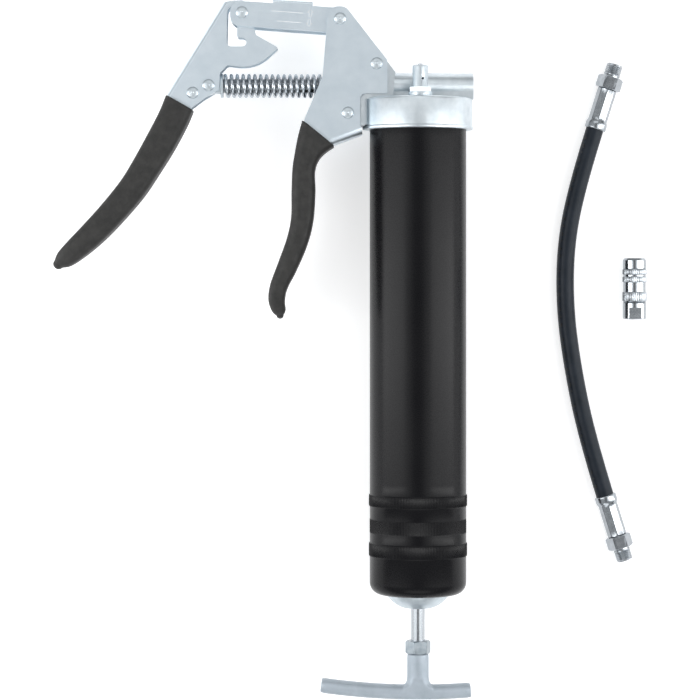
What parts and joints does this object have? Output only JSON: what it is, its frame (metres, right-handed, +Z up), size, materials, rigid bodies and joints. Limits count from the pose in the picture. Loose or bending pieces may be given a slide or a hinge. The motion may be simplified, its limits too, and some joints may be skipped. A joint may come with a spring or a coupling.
{
  "type": "grease gun",
  "caption": "Lever grease gun with a head casting, steel barrel, folded levers with black grips, pull handle, hose and jaw coupler.",
  "frame": {"origin": "on the surface that the gun lies on, below the middle of the gun and its coupler", "axes": "+Y along the barrel towards the head, +X along the pump towards the outlet, +Z up from the surface"},
  "size_m": [0.3458, 0.4048, 0.064],
  "materials": {
    "zinc_sheet": "bright blue zinc plating, satin",
    "zinc_turned": "bright zinc plating on turned steel",
    "cast_zinc": "plated die casting, lightly mottled satin",
    "handle_cast": "silver grey powder coated casting",
    "rod_steel": "drawn and polished",
    "spring_steel": "zinc plated wire",
    "black_barrel": "satin black powder coat",
    "black_grip": "fine matte grain",
    "hose_rubber": "smooth satin rubber",
    "seal_rubber": "matte",
    "brass_parts": "machined",
    "chrome_parts": "polished chrome plating"
  },
  "bodies": {
    "gun_head": {"head_casting": "cast_zinc", "handle_frame": "zinc_sheet", "fixed_grip": "black_grip", "frame_rivets": "zinc_turned", "link_pin": "zinc_turned", "gland_nut": "brass_parts", "plunger_seal": "seal_rubber", "valve_retainer": "brass_parts", "bleed_body": "zinc_turned", "bleed_retainer": "brass_parts", "bleed_spring": "spring_steel", "outlet_spring": "spring_steel"},
    "plunger": {"pump_plunger": "rod_steel", "plunger_yoke": "zinc_turned", "spring_seat": "zinc_turned", "return_spring": "spring_steel"},
    "lever": {"lever_channel": "zinc_sheet", "lever_grip": "black_grip", "lever_pin": "zinc_turned", "lever_rivet": "zinc_turned"},
    "link": {"link_bracket": "zinc_sheet", "mode_pin": "zinc_turned"},
    "outlet_valve": {"outlet_ball": "rod_steel"},
    "bleed_valve": {"bleed_ball": "rod_steel", "bleed_pin": "rod_steel"},
    "gasket": {"barrel_gasket": "seal_rubber"},
    "barrel": {"barrel_tube": "black_barrel", "end_plug": "zinc_turned", "plug_nut": "zinc_turned", "rod_wiper": "seal_rubber", "follower_spring": "spring_steel"},
    "rod_stop": {"rod_washer": "zinc_turned"},
    "rod": {"piston_rod": "rod_steel", "rod_nut": "zinc_turned", "t_handle": "handle_cast"},
    "follower": {"follower_hub": "zinc_turned", "follower_cup": "seal_rubber", "follower_front_disc": "zinc_sheet", "follower_back_disc": "zinc_sheet"},
    "hose": {"hose_tube": "hose_rubber", "hose_ferrule_top": "chrome_parts", "hose_ferrule_bottom": "chrome_parts", "hose_fitting_top": "chrome_parts", "hose_fitting_bottom": "chrome_parts"},
    "coupler": {"coupler_body": "chrome_parts"},
    "coupler_sleeve": {"coupler_sleeve": "chrome_parts", "coupler_spring": "spring_steel"},
    "coupler_jaws": {"coupler_jaws": "chrome_parts", "coupler_seal": "seal_rubber"}
  },
  "joints": [
    {"name": "lever_squeeze", "type": "hinge", "parent": "plunger", "child": "lever", "pos_m": [-0.08353, 0.15318, 0.032], "axis": [0, 0, 1], "range_deg": [0, 27.58], "stiffness_Nm_per_rad": 4},
    {"name": "plunger_stroke", "type": "slide", "parent": "gun_head", "child": "plunger", "axis": [1, 0, 0], "range_m": [0, 0.0221], "deforming": ["return_spring"]},
    {"name": "link_swing", "type": "hinge", "parent": "gun_head", "child": "link", "pos_m": [-0.00753, 0.19118, 0.032], "axis": [0, 0, 1], "range_deg": [-5.3, 0]},
    {"name": "outlet_ball_lift", "type": "slide", "parent": "gun_head", "child": "outlet_valve", "axis": [1, 0, 0], "range_m": [0, 0.0012], "stiffness_N_per_m": 300, "deforming": ["outlet_spring"]},
    {"name": "bleed_press", "type": "slide", "parent": "gun_head", "child": "bleed_valve", "axis": [0, -1, 0], "range_m": [0, 0.0009], "stiffness_N_per_m": 300, "deforming": ["bleed_spring"]},
    {"name": "barrel_unscrew", "type": "hinge", "parent": "gasket", "child": "barrel", "pos_m": [0.03757, 0.00317, 0.032], "axis": [0, -1, 0], "range_deg": [0, 1080]},
    {"name": "barrel_advance", "type": "slide", "parent": "gun_head", "child": "gasket", "axis": [0, -1, 0], "range_m": [0, 0.0046]},
    {"name": "rod_pull", "type": "slide", "parent": "barrel", "child": "rod_stop", "axis": [0, -1, 0], "range_m": [0, 0.2]},
    {"name": "handle_turn", "type": "hinge", "parent": "rod_stop", "child": "rod", "pos_m": [0.03757, -0.04682, 0.032], "axis": [0, 1, 0], "continuous": true},
    {"name": "follower_slide", "type": "slide", "parent": "barrel", "child": "follower", "axis": [0, -1, 0], "range_m": [0, 0.2], "stiffness_N_per_m": 150, "deforming": ["follower_spring"]},
    {"name": "hose_lift", "type": "slide", "parent": "gun_head", "child": "hose", "axis": [0, 0, 1], "range_m": [0, 0.15]},
    {"name": "coupler_lift", "type": "slide", "parent": "gun_head", "child": "coupler", "axis": [0, 0, 1], "range_m": [0, 0.15]},
    {"name": "coupler_adjust", "type": "hinge", "parent": "coupler", "child": "coupler_sleeve", "pos_m": [0.16577, 0.04018, 0.00715], "axis": [0, 1, 0], "range_deg": [-180, 180]},
    {"name": "jaw_press", "type": "slide", "parent": "coupler_sleeve", "child": "coupler_jaws", "axis": [0, -1, 0], "range_m": [0, 0.001], "stiffness_N_per_m": 500, "deforming": ["coupler_spring"]}
  ],
  "couplings": [
    {"joint": "plunger_stroke", "follows": "lever_squeeze", "m_per_rad": 0.045704},
    {"joint": "link_swing", "follows": "lever_squeeze", "ratio": -0.1871},
    {"joint": "barrel_advance", "follows": "barrel_unscrew", "m_per_rad": 0.00023873},
    {"joint": "follower_slide", "follows": "rod_pull", "ratio": 1}
  ]
}
